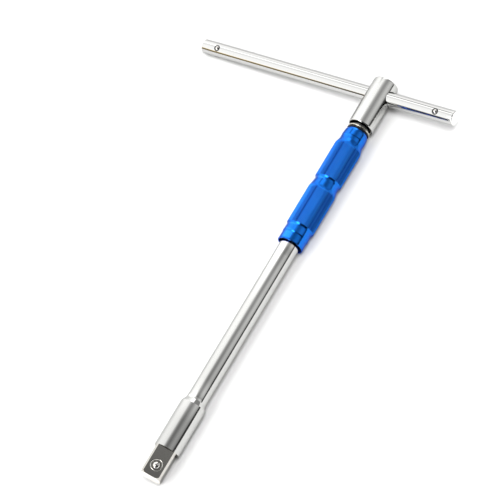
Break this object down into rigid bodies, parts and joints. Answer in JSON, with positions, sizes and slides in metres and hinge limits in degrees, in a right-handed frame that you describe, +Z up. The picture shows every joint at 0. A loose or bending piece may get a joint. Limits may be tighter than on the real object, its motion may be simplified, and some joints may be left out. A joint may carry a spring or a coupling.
{
  "type": "sliding t-handle socket wrench",
  "caption": "T-handle breaker bar with a half-inch square drive, a long chromed shaft, a spinning blue grip sleeve and a sliding cross bar.",
  "frame": {"origin": "centre of the square drive's flat end face", "axes": "+Y along the shaft from the drive to the head, +X along the cross bar towards its short end, +Z up as the tool lies on a bench"},
  "size_m": [0.1906, 0.2911, 0.0182],
  "materials": {
    "chrome": "polished chrome plate on steel",
    "drive_steel": "polished chrome plate, darker on the milled flats of the drive",
    "blue_anodise": "blue anodised, turned and straight knurled",
    "ball_steel": "polished bearing ball",
    "spring_steel": "bright drawn spring wire",
    "black_steel": "black oxide"
  },
  "bodies": {
    "shaft_and_head": {"drive_shaft": "drive_steel", "t_head": "chrome", "retaining_ring": "black_steel", "grip_spring": "spring_steel", "drive_ball_spring": "spring_steel"},
    "drive_ball": {"drive_ball": "ball_steel"},
    "thrust_washer": {"grip_washer": "black_steel"},
    "grip": {"grip_sleeve": "blue_anodise"},
    "bar": {"cross_bar": "chrome", "bar_ball_spring_left": "spring_steel", "bar_ball_spring_right": "spring_steel"},
    "ball_left": {"bar_ball_left": "ball_steel"},
    "ball_right": {"bar_ball_right": "ball_steel"}
  },
  "joints": [
    {"name": "bar_slide", "type": "slide", "parent": "shaft_and_head", "child": "bar", "axis": [1, 0, 0], "range_m": [-0.0336, 0.115]},
    {"name": "ball_left_press", "type": "slide", "parent": "bar", "child": "ball_left", "axis": [0, 0.3256, -0.9455], "range_m": [0, 0.0008], "stiffness_N_per_m": 1500, "springref_m": -0.0008, "deforming": ["bar_ball_spring_left"]},
    {"name": "ball_right_press", "type": "slide", "parent": "bar", "child": "ball_right", "axis": [0, 0.3256, -0.9455], "range_m": [0, 0.0008], "stiffness_N_per_m": 1500, "springref_m": -0.0008, "deforming": ["bar_ball_spring_right"]},
    {"name": "drive_ball_press", "type": "slide", "parent": "shaft_and_head", "child": "drive_ball", "axis": [-0.3907, 0, -0.9205], "range_m": [0, 0.0013], "stiffness_N_per_m": 2500, "springref_m": -0.001, "deforming": ["drive_ball_spring"]},
    {"name": "grip_slide", "type": "slide", "parent": "shaft_and_head", "child": "thrust_washer", "axis": [0, 1, 0], "range_m": [0, 0.003], "stiffness_N_per_m": 700, "springref_m": -0.004, "deforming": ["grip_spring"]},
    {"name": "grip_spin", "type": "hinge", "parent": "thrust_washer", "child": "grip", "pos_m": [0, 0.2088, 0], "axis": [0, 1, 0], "continuous": true}
  ]
}
